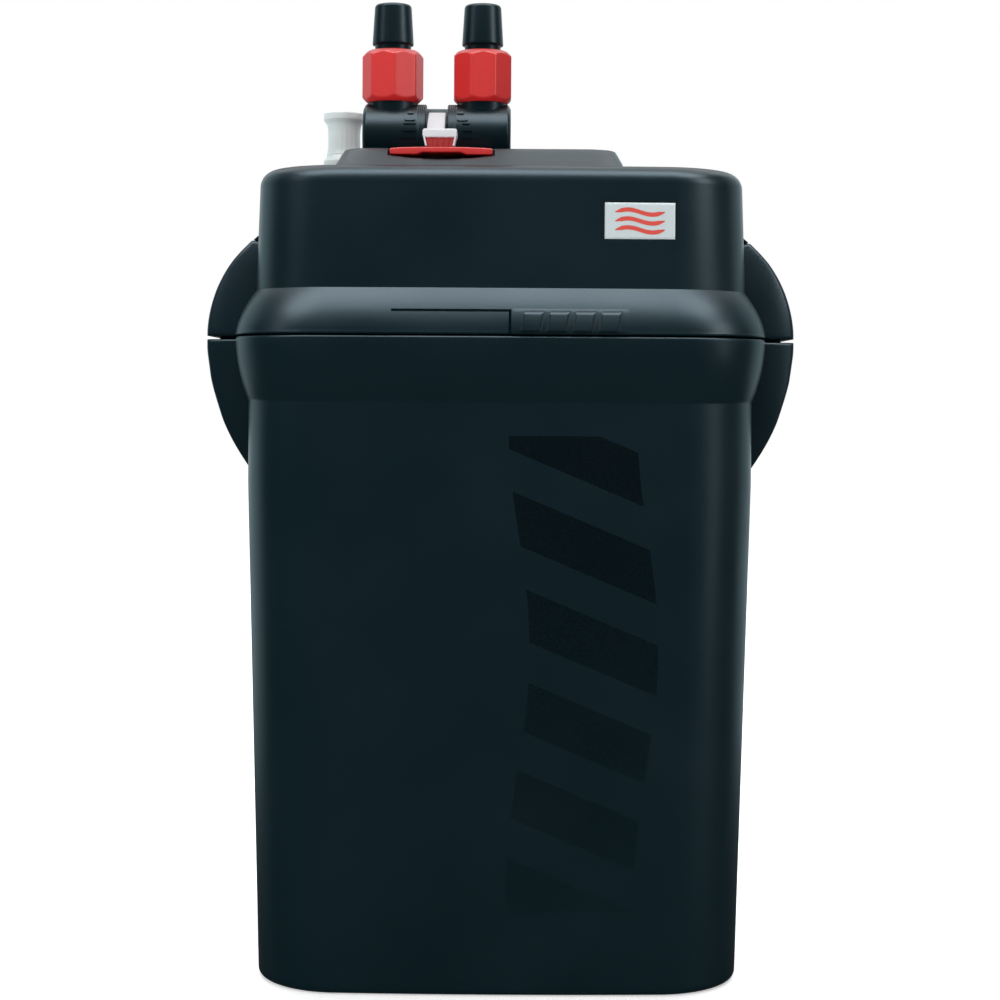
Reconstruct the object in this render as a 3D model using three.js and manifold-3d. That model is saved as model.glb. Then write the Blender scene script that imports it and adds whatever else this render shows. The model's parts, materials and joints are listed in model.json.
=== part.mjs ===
// Canister filter for aquariums: a moulded canister with stacked media baskets, a motor head held down by two
// lift-lock clamps, a twin hose valve with a flow lever and octagonal lock nuts, a priming plunger and a
// magnet-driven impeller. Millimetres, +Z up, -Y is the front, origin at the centre of the footprint.
import * as THREE from "three";
import { mergeVertices } from "three/addons/utils/BufferGeometryUtils.js";
import Module from "manifold-3d";

const wasm = await Module();
wasm.setup();

// ---------------------------------------------------------------- driving dimensions
const SEAM = 266; // top of the canister rim
const HEAD_Z0 = 266.6; // underside of the head cover's skirt
const SEAM_MID = 266.3; // where both collars stand out furthest
const WALL_TOP = 239.5; // where the rolled rim starts
const WALL_BEND = 206; // the side walls lean out up to here, then stand upright
const CAN_A = [100, 105.6]; // half width at the floor and at the bend
const CAN_B = [82.5, 84]; // half depth, likewise
const CAN_R = [33, 34]; // plan corner radius
const CROWN_Y = 3, CROWN_X = 1; // bow of the front and side faces
const RIM = [5.2, 6]; // how far the rolled rim stands out, sideways and forwards
const WALL = 4;
const HEAD_A = [102.8, 101.4], HEAD_B = [82, 81.4]; // at the top of the skirt and at z 328
const HEAD_R = 34;
const SKIRT_TOP = 285.5;
const HEAD_TOP = 335.6;
const CAV_A = 95, CAV_B = 77, CAV_TOP = 331; // hollow of the head cover
const EAR_Y = 40; // half depth of the clamps and of the catch guards
const PIVOT = [105.1, 302.1]; // clamp hinge, x and z
const POCKET_X = 98.8;
const XC = -27.6; // centre plane of the hose valve
const PORT = 19.2; // hose port offset from that plane
const VY = -28, VZ = 352.2; // valve axis
const BARREL_R = 14.5, BORE_R = 10, ROTOR_R = 9.6, GAP = 4.1, BARREL_END = 31.4;
const NUT_R = 13.2, NUT_Z = [367, 389.2];
const PRIME = [-72, 30]; // priming plunger axis
const MOTOR = [42, 8]; // impeller axis

const DETAIL = 0.62; // share of the stated facets that turned shapes keep
const facets = (n) => Math.max(8, Math.round(n * DETAIL));

// ---------------------------------------------------------------- helpers
const solidOf = (geometry) => {
  const g = geometry.clone();
  g.deleteAttribute("normal");
  g.deleteAttribute("uv");
  const m = mergeVertices(g, 1e-4), t = m.index.array;
  const make = (flip) => {
    const f = [];
    for (let i = 0; i < t.length; i += 3) {
      const [a, b, c] = [t[i], t[i + 1], t[i + 2]];
      if (a !== b && b !== c && c !== a) f.push(a, flip ? c : b, flip ? b : c);
    }
    return new wasm.Manifold(new wasm.Mesh({ numProp: 3, vertProperties: m.attributes.position.array, triVerts: new Uint32Array(f) }));
  };
  const solid = make(false);
  return solid.volume() < 0 ? make(true) : solid;
};
const geometryOf = (solid) => {
  const m = solid.getMesh(), n = m.numProp, v = new Float32Array((m.vertProperties.length / n) * 3);
  for (let i = 0; i < v.length / 3; i++) for (let k = 0; k < 3; k++) v[i * 3 + k] = m.vertProperties[i * n + k];
  const g = new THREE.BufferGeometry();
  g.setAttribute("position", new THREE.BufferAttribute(v, 3));
  g.setIndex(new THREE.BufferAttribute(new Uint32Array(m.triVerts), 1));
  g.computeVertexNormals();
  return g;
};
const box = (x0, x1, y0, y1, z0, z1) =>
  solidOf(new THREE.BoxGeometry(x1 - x0, y1 - y0, z1 - z0).translate((x0 + x1) / 2, (y0 + y1) / 2, (z0 + z1) / 2));
const cylZ = (x, y, r, z0, z1, seg = 24) =>
  solidOf(new THREE.CylinderGeometry(r, r, z1 - z0, facets(seg)).rotateX(Math.PI / 2).translate(x, y, (z0 + z1) / 2));
const cylX = (y, z, r, x0, x1, seg = 24) =>
  solidOf(new THREE.CylinderGeometry(r, r, x1 - x0, facets(seg)).rotateZ(Math.PI / 2).translate((x0 + x1) / 2, y, z));
const cylY = (x, z, r, y0, y1, seg = 24) =>
  solidOf(new THREE.CylinderGeometry(r, r, y1 - y0, facets(seg)).translate(x, (y0 + y1) / 2, z));
// points are [radius, z], turned about a vertical axis at (x, y)
const latheZ = (x, y, points, seg = 24) =>
  solidOf(new THREE.LatheGeometry(points.map((p) => new THREE.Vector2(p[0], p[1])), facets(seg)).rotateX(Math.PI / 2).translate(x, y, 0));
const plate = (shape, z0, z1, curve = 6) =>
  solidOf(new THREE.ExtrudeGeometry(shape, { depth: z1 - z0, bevelEnabled: false, curveSegments: curve }).translate(0, 0, z0));
// a profile in x and z, run from y0 to y1
const slabXZ = (points, y0, y1) => {
  const s = new THREE.Shape(points.map((p) => new THREE.Vector2(p[0], p[1])));
  return solidOf(new THREE.ExtrudeGeometry(s, { depth: y1 - y0, bevelEnabled: false }).rotateX(Math.PI / 2).translate(0, y1, 0));
};
// a profile in y and z, run from x0 to x1
const slabYZ = (points, x0, x1) => {
  const s = new THREE.Shape(points.map((p) => new THREE.Vector2(p[0], p[1])));
  const g = new THREE.ExtrudeGeometry(s, { depth: x1 - x0, bevelEnabled: false });
  g.applyMatrix4(new THREE.Matrix4().set(0, 0, 1, x0, 1, 0, 0, 0, 0, 1, 0, 0, 0, 0, 0, 1));
  return solidOf(g);
};
const rrect = (x0, x1, y0, y1, rl, rr = rl) => {
  const s = new THREE.Shape();
  s.moveTo(x0 + rl, y0);
  s.lineTo(x1 - rr, y0);
  s.absarc(x1 - rr, y0 + rr, rr, -Math.PI / 2, 0, false);
  s.lineTo(x1, y1 - rr);
  s.absarc(x1 - rr, y1 - rr, rr, 0, Math.PI / 2, false);
  s.lineTo(x0 + rl, y1);
  s.absarc(x0 + rl, y1 - rl, rl, Math.PI / 2, Math.PI, false);
  s.lineTo(x0, y0 + rl);
  s.absarc(x0 + rl, y0 + rl, rl, Math.PI, 1.5 * Math.PI, false);
  return s;
};
const mix = (p, t) => p[0] + (p[1] - p[0]) * t;
// one plan outline: a rounded rectangle whose long and short sides are bowed
const outline = (a, b, r, z, cy = CROWN_Y, cx = CROWN_X, nc = 4, ns = 3, ox = 0, oy = 0) => {
  const out = [];
  const corners = [[1, 1, 0], [-1, 1, 90], [-1, -1, 180], [1, -1, 270]];
  corners.forEach(([sx, sy, from], k) => {
    const c = [sx * (a - r), sy * (b - r)];
    for (let i = 0; i <= nc; i++) {
      const t = ((from + (90 * i) / nc) * Math.PI) / 180;
      out.push([c[0] + r * Math.cos(t), c[1] + r * Math.sin(t)]);
    }
    const next = corners[(k + 1) % 4], n = [next[0] * (a - r), next[1] * (b - r)], t = ((next[2] % 360) * Math.PI) / 180;
    const p = out[out.length - 1], q = [n[0] + r * Math.cos(t), n[1] + r * Math.sin(t)];
    for (let i = 1; i < ns; i++) out.push([p[0] + ((q[0] - p[0]) * i) / ns, p[1] + ((q[1] - p[1]) * i) / ns]);
  });
  return out.map(([x, y]) => [ox + x * (1 - (cx / a) * (y / b) ** 2), oy + y * (1 - (cy / b) * (x / a) ** 2), z]);
};
// a closed solid through plan outlines, capped at both ends
const loft = (rings) => {
  const n = rings[0].length, v = [], f = [];
  rings.forEach((r) => r.forEach((p) => v.push(...p)));
  for (let k = 0; k + 1 < rings.length; k++)
    for (let i = 0; i < n; i++) {
      const a = k * n + i, b = k * n + ((i + 1) % n), c = a + n, d = b + n;
      f.push(a, b, d, a, d, c);
    }
  const cap = (ring, at, up) => {
    const m = [0, 0, 0];
    ring.forEach((p) => p.forEach((x, k) => (m[k] += x / n)));
    const id = v.length / 3;
    v.push(...m);
    for (let i = 0; i < n; i++) {
      const a = at + i, b = at + ((i + 1) % n);
      if (up) f.push(a, b, id);
      else f.push(b, a, id);
    }
  };
  cap(rings[0], 0, false);
  cap(rings[rings.length - 1], (rings.length - 1) * n, true);
  const g = new THREE.BufferGeometry();
  g.setAttribute("position", new THREE.BufferAttribute(new Float32Array(v), 3));
  g.setIndex(f);
  return solidOf(g);
};
const cut = (s, ...others) => others.reduce((a, b) => a.subtract(b), s);
const join = (s, ...others) => others.reduce((a, b) => a.add(b), s);

const material = (color, roughness, metalness = 0) => new THREE.MeshStandardMaterial({ color, roughness, metalness });
const BLACK = material(0x10222a, 0.5), BLACK_SOFT = material(0x0c161a, 0.75), RED = material(0xc8302c, 0.4);
const WHITE = material(0xeceef0, 0.4), GREY = material(0xc3cdcd, 0.45), SILVER = material(0xc6ccd0, 0.3, 0.6);
const RUBBER = material(0x151515, 0.9), STEEL = material(0x9a9da0, 0.3, 1), COPPER = material(0x8a4a22, 0.4, 0.9);
const FOAM = material(0x2c3136, 1), CERAMIC = material(0xe6dfd2, 0.85), CARBON = material(0x17181a, 0.95), FLOSS = material(0xe9ecee, 1);
const CLEAR_GREY = material(0x3c464b, 0.5), MAGNET = material(0x2a2c2e, 0.6, 0.3);

const root = new THREE.Group();
const head = new THREE.Group(), canister = new THREE.Group(), valve = new THREE.Group();
root.add(canister, head, valve);
const put = (group, name, solid, mat) => {
  const m = new THREE.Mesh(geometryOf(solid), mat);
  m.name = name;
  group.add(m);
};

// ---------------------------------------------------------------- canister
const wallAt = (z) => {
  const t = Math.min(z / WALL_BEND, 1);
  return [mix(CAN_A, t), mix(CAN_B, t), mix(CAN_R, t)];
};
const rings = [];
for (const [z, inset] of [[0, 3], [0.4, 1.5], [1.3, 0.45], [3, 0]]) {
  const [a, b, r] = wallAt(z);
  rings.push(outline(a - inset, b - inset, r - inset, z));
}
rings.push(outline(...wallAt(WALL_BEND), WALL_BEND), outline(...wallAt(WALL_TOP), WALL_TOP));
for (const z of [243, 247, 252, 258, 263, 265.3]) {
  const [a, b, r] = wallAt(WALL_TOP), k = 1 - ((SEAM_MID - z) / 27) ** 2;
  rings.push(outline(a + RIM[0] * k, b + RIM[1] * k, r + 4 * k, z));
}
rings.push(outline(CAN_A[1] + RIM[0] - 0.7, CAN_B[1] + RIM[1] - 0.7, 37.3, SEAM));
const IN_A = 101.5, IN_B = 80; // mouth of the canister
rings.push(outline(IN_A, IN_B, 30, SEAM), outline(IN_A - 0.2, IN_B - 0.2, 30, WALL_TOP), outline(IN_A - 0.2, IN_B - 0.2, 30, WALL_BEND));
{
  const [a, b] = wallAt(8);
  rings.push(outline(a - WALL, b - WALL, 27, 10), outline(a - WALL - 5, b - WALL - 5, 23, 5));
}
let can = loft(rings);
// catch guards at the sides, each with a flat-floored finger well, a finger notch and a catch under the rim
const GUARD = [[125, 265.5], [124.4, 256.7], [123.2, 248.3], [120.8, 239.8], [118.1, 231.4], [114.1, 222.9], [109, 214.4], [106.2, 210.2]];
const GUARD_IN = [[111.3, 270], [121.9, 270], [121.9, 265], [121.4, 257], [120.2, 249], [117.8, 240.6], [117, 238], [106.4, 238], [106.4, 240], [109.3, 250], [111, 259]];
for (const s of [1, -1]) {
  const m = (pts) => pts.map((p) => [s * p[0], p[1]]);
  const q = (x0, x1) => (s > 0 ? [x0, x1] : [-x1, -x0]);
  can = join(can, slabXZ(m([[103.5, 265.5], ...GUARD, [103.5, 208.5]]), -EAR_Y, EAR_Y));
  can = cut(
    can,
    slabXZ(m(GUARD_IN), -EAR_Y + 3, EAR_Y - 3),
    box(...q(112, 130), -23.5, 23.5, 238, 275),
    box(...q(105.5, 112.5), -23.5, 23.5, 250, 257.5),
  );
}
put(canister, "canister", can, BLACK);

// ---------------------------------------------------------------- filter media
const basket = (z0, h) => {
  let s = plate(rrect(-55, 91, -71, 71, 8, 24), z0, z0 + h, 3);
  s = cut(s, plate(rrect(-53, 89, -69, 69, 6, 22), z0 + 2.5, z0 + h + 1, 3));
  for (let i = 0; i < 6; i++) s = cut(s, box(-44 + i * 21, -34 + i * 21, -50, 50, z0 - 1, z0 + 3));
  return s;
};
const BASKETS = [9, 81.4, 153.8];
["lower", "middle", "upper"].forEach((n, i) => put(canister, "basket_" + n, basket(BASKETS[i], 72), CLEAR_GREY));
let lid = plate(rrect(-55, 91, -71, 71, 8, 24), 226.4, 229.4, 3);
for (let i = 0; i < 6; i++) lid = cut(lid, box(-44 + i * 21, -34 + i * 21, -50, 50, 225, 231));
lid = join(lid, box(-8, 42, -3, 3, 229, 233), box(-8, -3, -3, 3, 229, 240), box(37, 42, -3, 3, 229, 240), box(-8, 42, -3, 3, 236.5, 240));
put(canister, "basket_lid", lid, CLEAR_GREY);
[["ceramic_media", CERAMIC], ["carbon_media", CARBON], ["fine_filter_pad", FLOSS]].forEach(([n, mat], i) =>
  put(canister, n, plate(rrect(-52, 88, -68, 68, 5, 21), BASKETS[i] + 3, BASKETS[i] + 62, 3), mat),
);
put(
  canister,
  "foam_frame",
  cut(box(-88, -60, -56, 56, 9, 228), box(-90, -58, -51, 51, 14, 115), box(-90, -58, -51, 51, 121, 223)),
  CLEAR_GREY,
);
put(canister, "foam_pad_lower", box(-86.5, -61.5, -50.6, 50.6, 14.4, 114.6), FOAM);
put(canister, "foam_pad_upper", box(-86.5, -61.5, -50.6, 50.6, 121.4, 222.6), FOAM);

// ---------------------------------------------------------------- motor head
const headRings = [];
for (const z of [HEAD_Z0, 270, 274, 278, 281.5, 284]) {
  const k = 1 - ((z - SEAM_MID) / (SKIRT_TOP - SEAM_MID)) ** 1.7;
  headRings.push(outline(HEAD_A[0] + 8 * k, HEAD_B[0] + 8 * k, HEAD_R + 4 * k, z));
}
headRings.push(outline(HEAD_A[0], HEAD_B[0], HEAD_R, SKIRT_TOP));
for (const d of [0, 30, 60, 90]) {
  const t = (d * Math.PI) / 180, i = 7 * (1 - Math.cos(t));
  headRings.push(outline(HEAD_A[1] - i, HEAD_B[1] - i, HEAD_R - i, HEAD_TOP - 7 + 7 * Math.sin(t)));
}
let cover = loft(headRings);
// raised deck round the hose valve, with sloping sides
const deckRing = (a, b, r, z) => outline(a, b, r, z, 0, 0, 4, 2, -9, -29);
cover = join(
  cover,
  loft([deckRing(60, 45, 14, 333), deckRing(60, 45, 14, 335.5), deckRing(57, 34.4, 12, 343.2), deckRing(56.4, 33, 11, 344.1)]),
  cylZ(...PRIME, 10.2, 333, 343.9),
);
cover = cut(cover, loft([outline(CAV_A, CAV_B, 26, 260), outline(CAV_A, CAV_B, 26, CAV_TOP)]));
const SCREWS = [[-80, -50], [80, -50], [-80, 50], [80, 50]];
for (const [x, y] of SCREWS) cover = cut(join(cover, cylZ(x, y, 4.5, 271.4, 332, 12)), cylZ(x, y, 1.8, 270, 289, 12));
for (const s of [1, -1]) {
  const m = (pts) => pts.map((p) => [s * p[0], p[1]]);
  const q = (x0, x1) => (s > 0 ? [x0, x1] : [-x1, -x0]);
  cover = cut(cover, box(...q(POCKET_X, 130), -EAR_Y - 1, EAR_Y + 1, 260, 308.2));
  // brow that carries the clamp's curve up to the head's side wall
  cover = join(cover, slabXZ(m([[98.5, 308.2], [104.6, 308.2], [105.6, 308.4], [103.4, 310.6], [101.2, 312.4], [98.5, 312.4]]), -EAR_Y, EAR_Y));
  const lug = [[98, 302.1], [98, 290.5], [105.1, 298.7]];
  for (const d of [-60, -30, 0, 30, 60, 90, 120, 150, 180])
    lug.push([PIVOT[0] + 3.4 * Math.cos((d * Math.PI) / 180), PIVOT[1] + 3.4 * Math.sin((d * Math.PI) / 180)]);
  for (const y of [-36, 30]) cover = join(cover, slabXZ(m(lug), y, y + 6));
  cover = cut(cover, cylY(s * PIVOT[0], PIVOT[1], 2.1, -37, 37, 16));
}
// seats for the hose valve and for the release latch, with a finger scoop below the latch
cover = cut(
  cover,
  box(XC - 33, XC + 33, -46, -11, 335, 360),
  box(-46.8, -2.8, -80, -50, 340.6, 360),
  box(-33.2, -16.6, -51, -45, 340.6, 360),
  cylY(-24.8, 459.5, 120.9, -90, -56, 144).intersect(box(-46.8, -2.8, -90, -56, 330, 341)),
  cylZ(XC - PORT, VY, 6, 329, 340, 20),
  cylZ(XC + PORT, VY, 6, 329, 340, 20),
  cylZ(...PRIME, 4.1, 325, 350, 20),
  cylY(60, 300, 7.3, 70, 90, 20),
);
// badge seat
const badgeAt = (s) => s.rotate([0, 0, 1.8]).translate([56, -80.8, 313]);
cover = cut(cover, badgeAt(box(-14.6, 14.6, -4, 1.1, -7.75, 7.75)));
put(head, "head_cover", cover, BLACK);
put(head, "badge_plate", badgeAt(box(-14.25, 14.25, -0.4, 0.8, -7.4, 7.4)), SILVER);

let base = loft([outline(99.9, 78.4, 28.4, 255), outline(100.9, 79.4, 29.4, 256), outline(100.9, 79.4, 29.4, 266.3)]);
base = join(base, loft([outline(CAV_A - 0.4, CAV_B - 0.4, 25.6, 266), outline(CAV_A - 0.4, CAV_B - 0.4, 25.6, 271)]));
base = cut(base, loft([outline(88, 70, 22, 259.5), outline(88, 70, 22, 275)]));
const sealCut = loft([outline(108, 88, 36, 258.5), outline(108, 88, 36, 262.5)]);
base = cut(base, sealCut.subtract(loft([outline(97.9, 76.4, 27, 257), outline(97.9, 76.4, 27, 264)])));
base = join(base, cylZ(...MOTOR, 21, 255, 275, 28), cylZ(...MOTOR, 13.8, 274, 312, 28));
base = cut(base, cylZ(...MOTOR, 17.6, 250, 272, 28), cylZ(...MOTOR, 10.8, 271, 308.6, 24));
for (const s of [-1, 1]) {
  base = join(base, cylZ(XC + s * PORT, VY, 8.6, 256, 330.6, 20));
  base = cut(base, cylZ(XC + s * PORT, VY, 5.6, 250, 335, 20));
}
for (const [x, y] of SCREWS)
  base = cut(join(base, cylZ(x, y, 5.4, 256, 271, 14)), cylZ(x, y, 2, 250, 275, 12), cylZ(x, y, 4.1, 250, 258.2, 14));
put(head, "head_base", base, BLACK_SOFT);
put(
  head,
  "head_seal",
  loft([outline(101.2, 79.7, 29.7, 258.9), outline(101.2, 79.7, 29.7, 262.1)]).subtract(
    loft([outline(98.2, 76.7, 27.2, 257), outline(98.2, 76.7, 27.2, 264)]),
  ),
  RUBBER,
);
SCREWS.forEach(([x, y], i) =>
  put(head, "head_screw_" + (i + 1), latheZ(x, y, [[0, 255.6], [3.6, 255.6], [3.7, 257.8], [1.5, 257.9], [1.5, 286], [0, 287.5]], 12), STEEL),
);

// drive: stator, rotor and wet end
let core = box(20, 86, -12, 28, 281, 301);
core = cut(core, cylZ(...MOTOR, 14.3, 270, 310, 28), box(58, 76, -2, 18, 270, 310), box(10, 28, 3, 13, 270, 310));
put(head, "motor_core", core, STEEL);
put(head, "motor_coil", cut(plate(rrect(70.6, 90.4, -1.5, 17.5, 3), 275, 307, 3), box(75.7, 86.3, -5, 25, 280.7, 301.3)), COPPER);
put(head, "impeller_magnet", cut(cylZ(...MOTOR, 9.8, 274, 303.6, 24), cylZ(...MOTOR, 1.5, 270, 305, 12)), MAGNET);
let wheel = cylZ(...MOTOR, 5, 263, 273.6, 20);
for (let i = 0; i < 6; i++)
  wheel = join(wheel, box(3, 15.5, -0.8, 0.8, 263, 270.5).rotate([0, 0, 60 * i]).translate([...MOTOR, 0]));
wheel = cut(wheel, cylZ(...MOTOR, 1.5, 255, 280, 12));
put(head, "impeller_wheel", wheel, WHITE);
put(head, "impeller_shaft", cylZ(...MOTOR, 1.25, 259.6, 307, 12), WHITE);
put(head, "shaft_bush_upper", cut(cylZ(...MOTOR, 4.2, 304.6, 308.2, 16), cylZ(...MOTOR, 1.5, 300, 307.3, 12)), RUBBER);
put(head, "shaft_bush_lower", cut(cylZ(...MOTOR, 3.4, 258.4, 262.4, 16), cylZ(...MOTOR, 1.5, 259.3, 270, 12)), RUBBER);
let cap = cylZ(...MOTOR, 17.2, 255.4, 258.1, 28);
for (let i = 0; i < 5; i++) cap = cut(cap, cylZ(0, 0, 3.1, 250, 262, 12).translate([9 * Math.cos(i * 1.2566) + MOTOR[0], 9 * Math.sin(i * 1.2566) + MOTOR[1], 0]));
put(head, "impeller_cover", cap, BLACK_SOFT);
let gland = join(cylY(60, 300, 6.9, 74, 82, 20), cylY(60, 300, 9.2, 81.7, 84.5, 24));
put(head, "cord_gland", cut(gland, cylY(60, 300, 3.6, 70, 90, 16)), RUBBER);

// priming plunger
put(
  head,
  "primer_knob",
  latheZ(...PRIME, [[3.9, 344.3], [9.3, 344.3], [9.4, 348.6], [8.2, 350.4], [7.5, 354], [7.3, 358.5], [7.5, 362.5], [8.4, 366], [9.3, 367.4], [9.4, 369.6], [8.3, 370.4], [0, 370.4], [0, 365], [3.9, 365], [3.9, 344.3]], 28),
  GREY,
);
put(head, "primer_rod", latheZ(...PRIME, [[0, 288], [3.5, 288], [3.5, 364.6], [0, 364.6]], 16), GREY);
put(head, "primer_piston", latheZ(...PRIME, [[0, 280], [10.2, 280], [10.2, 282.3], [8.6, 282.3], [8.6, 285.2], [10.2, 285.2], [10.2, 287.7], [0, 287.7]], 24), WHITE);
put(head, "primer_piston_seal", latheZ(...PRIME, [[8.9, 282.6], [10.4, 282.6], [10.4, 284.9], [8.9, 284.9], [8.9, 282.6]], 24), RUBBER);
put(head, "primer_cylinder", latheZ(...PRIME, [[5, 274], [13, 274], [13, 330.6], [10.8, 330.6], [10.8, 277], [5, 277], [5, 274]], 24), BLACK_SOFT);
put(head, "primer_flap_valve", latheZ(...PRIME, [[0, 277.3], [8, 277.3], [8, 278.9], [0, 278.9]], 20), RUBBER);

// ---------------------------------------------------------------- lift-lock clamps
const ARC = [[114.1, 299.1], [117, 294.8], [119.3, 290.6], [121.2, 286.4], [122.7, 282.1], [123.8, 277.9], [124.6, 273.7], [125, 269.4], [125, 266.8]];
const ARC_IN = [[121.9, 255], [121.9, 270], [121.6, 273.3], [120.9, 277.2], [119.8, 281.2], [118.4, 285.1], [116.7, 289.1], [114.5, 293.1], [111.8, 297.1]];
const around = (r, from, to, step) => {
  const out = [];
  for (let d = from; d <= to + 1e-9; d += step)
    out.push([PIVOT[0] + r * Math.cos((d * Math.PI) / 180), PIVOT[1] + r * Math.sin((d * Math.PI) / 180)]);
  return out;
};
for (const [s, side] of [[-1, "left"], [1, "right"]]) {
  const m = (pts) => pts.map((p) => [s * p[0], p[1]]);
  const q = (x0, x1) => (s > 0 ? [x0, x1] : [-x1, -x0]);
  const shell = [[99.2, 267.3], [111, 266.8], ...[...ARC].reverse(), ...around(5.5, 10, 180, 17), [99.2, 297.5]];
  let c = slabXZ(m(shell), -EAR_Y, EAR_Y);
  const hollow = [[90, 255], ...ARC_IN, ...around(4.2, -20, 100, 24), [104, 315], [90, 315]];
  c = cut(c, slabXZ(m(hollow), -EAR_Y + 3, EAR_Y - 3));
  c = join(
    c,
    box(...q(112, 115.5), -22, 22, 250.5, 271),
    box(...q(112, 121.5), -22, 22, 263.5, 271),
    box(...q(121, 123), -22, 22, 267.2, 271),
    box(...q(107, 115), -22, 22, 251.5, 256.7),
  );
  c = cut(c, cylY(s * PIVOT[0], PIVOT[1], 2.1, -39, -36, 16), cylY(s * PIVOT[0], PIVOT[1], 2.1, 36, 39, 16));
  put(head, "clamp_" + side, c, BLACK);
  put(head, "clamp_pin_" + side, cylY(s * PIVOT[0], PIVOT[1], 1.8, -38.7, 38.7, 16), STEEL);
}

// ---------------------------------------------------------------- hose valve
let body = box(XC - 31, XC + 31, -43.5, -12.5, 336.6, 347);
body = join(body, cylX(VY, VZ, BARREL_R, XC - BARREL_END, XC - GAP, 32), cylX(VY, VZ, BARREL_R, XC + GAP, XC + BARREL_END, 32));
body = cut(body, box(XC - GAP, XC + GAP, -50, -5, 338.6, 370));
for (const s of [-1, 1]) body = join(body, cylZ(XC + s * PORT, VY, 10.2, 356, 384, 24));
body = cut(
  body,
  cylX(VY, VZ, BORE_R, XC - BARREL_END - 1, XC - 7.4, 28),
  cylX(VY, VZ, BORE_R, XC + 7.4, XC + BARREL_END + 1, 28),
  cylX(VY, VZ, 3.5, XC - 10, XC + 10, 16),
  cylZ(XC - PORT, VY, 5.5, 330, 390, 20),
  cylZ(XC + PORT, VY, 5.5, 330, 390, 20),
  box(-33.4, -16.4, -45, -40, 340.8, 344.2),
);
put(valve, "valve_body", body, BLACK);
put(
  valve,
  "valve_gasket",
  cut(box(XC - 30.4, XC + 30.4, -43, -13, 335.3, 336.3), cylZ(XC - PORT, VY, 6.2, 330, 340, 20), cylZ(XC + PORT, VY, 6.2, 330, 340, 20)),
  RUBBER,
);
for (const [s, side] of [[-1, "left"], [1, "right"]]) {
  const q = (x0, x1) => (s > 0 ? [XC + x0, XC + x1] : [XC - x1, XC - x0]);
  put(valve, "valve_cap_" + side, cylX(VY, VZ, 9.7, ...q(29, BARREL_END), 24), BLACK_SOFT);
  put(valve, "valve_rotor_" + side, cut(cylX(VY, VZ, ROTOR_R, ...q(7.7, 28.6), 28), cylZ(XC + s * PORT, VY, 5, 330, 370, 20)), WHITE);
  const x = XC + s * PORT;
  put(
    valve,
    "hose_tail_" + side,
    latheZ(x, VY, [[5.5, 385.3], [9.8, 385.3], [9.8, 387], [7.7, 387.1], [7.7, 391.8], [8.8, 391.8], [8.8, 392.8], [7.85, 408], [7.3, 409.1], [5.5, 409.1], [5.5, 385.3]], 28),
    BLACK,
  );
  put(valve, "tail_seal_" + side, latheZ(x, VY, [[6, 384.3], [9.5, 384.3], [9.5, 385], [6, 385], [6, 384.3]], 24), RUBBER);
  // eight flats; the left nut shows a corner at the front and the right one a flat
  const turn = s < 0 ? 5 : 22.5 + 4;
  const prism = solidOf(
    new THREE.CylinderGeometry(NUT_R, NUT_R, NUT_Z[1] - NUT_Z[0], 8)
      .rotateX(Math.PI / 2)
      .rotateZ((turn * Math.PI) / 180)
      .translate(x, VY, (NUT_Z[0] + NUT_Z[1]) / 2),
  );
  let nut = prism.intersect(latheZ(x, VY, [[0, NUT_Z[0]], [11.3, NUT_Z[0]], [13.3, NUT_Z[0] + 2.2], [13.3, NUT_Z[1] - 2.4], [11, NUT_Z[1]], [0, NUT_Z[1]]], 32));
  nut = cut(nut, cylZ(x, VY, 10.6, 360, 387.3, 24), cylZ(x, VY, 8.1, 380, 392, 24));
  put(valve, "lock_nut_" + side, nut, RED);
}
// flow lever: hub between the barrels, an arm reaching forwards and a ribbed thumb pad
let lever = cylX(VY, VZ, 11, XC - 3.75, XC + 3.75, 32);
lever = join(
  lever,
  slabYZ([[-28, 342], [-40, 345.2], [-62.5, 345.2], [-63.6, 346.4], [-63.6, 351.2], [-52, 351.9], [-44, 357], [-36, 361], [-28, 363.1]], XC - 3.75, XC + 3.75),
  slabYZ([[-51.5, 344.6], [-62.8, 344.6], [-63.8, 345.8], [-64, 351], [-63.2, 351.9], [-51.5, 351.9]], XC - 4.9, XC + 9.9),
  cylX(VY, VZ, 3.1, XC - 7.3, XC + 7.3, 16),
);
put(valve, "flow_lever", lever, WHITE);
put(
  valve,
  "release_latch",
  join(
    slabXZ([[-46, 341], [-34.8, 341], [-33, 341.9], [-16.6, 341.9], [-14.8, 341], [-3.7, 341], [-3.7, 343.3], [-4.7, 343.8], [-16, 344.2], [-33, 344.2], [-45, 343.8], [-46, 343.3]], -66, -51),
    box(-32.6, -17.2, -52, -42, 341.9, 343.6),
  ),
  RED,
);

export default root;
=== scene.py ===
import json
import math

import bmesh
import bpy
import numpy as np
from mathutils import Matrix, Vector


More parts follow.
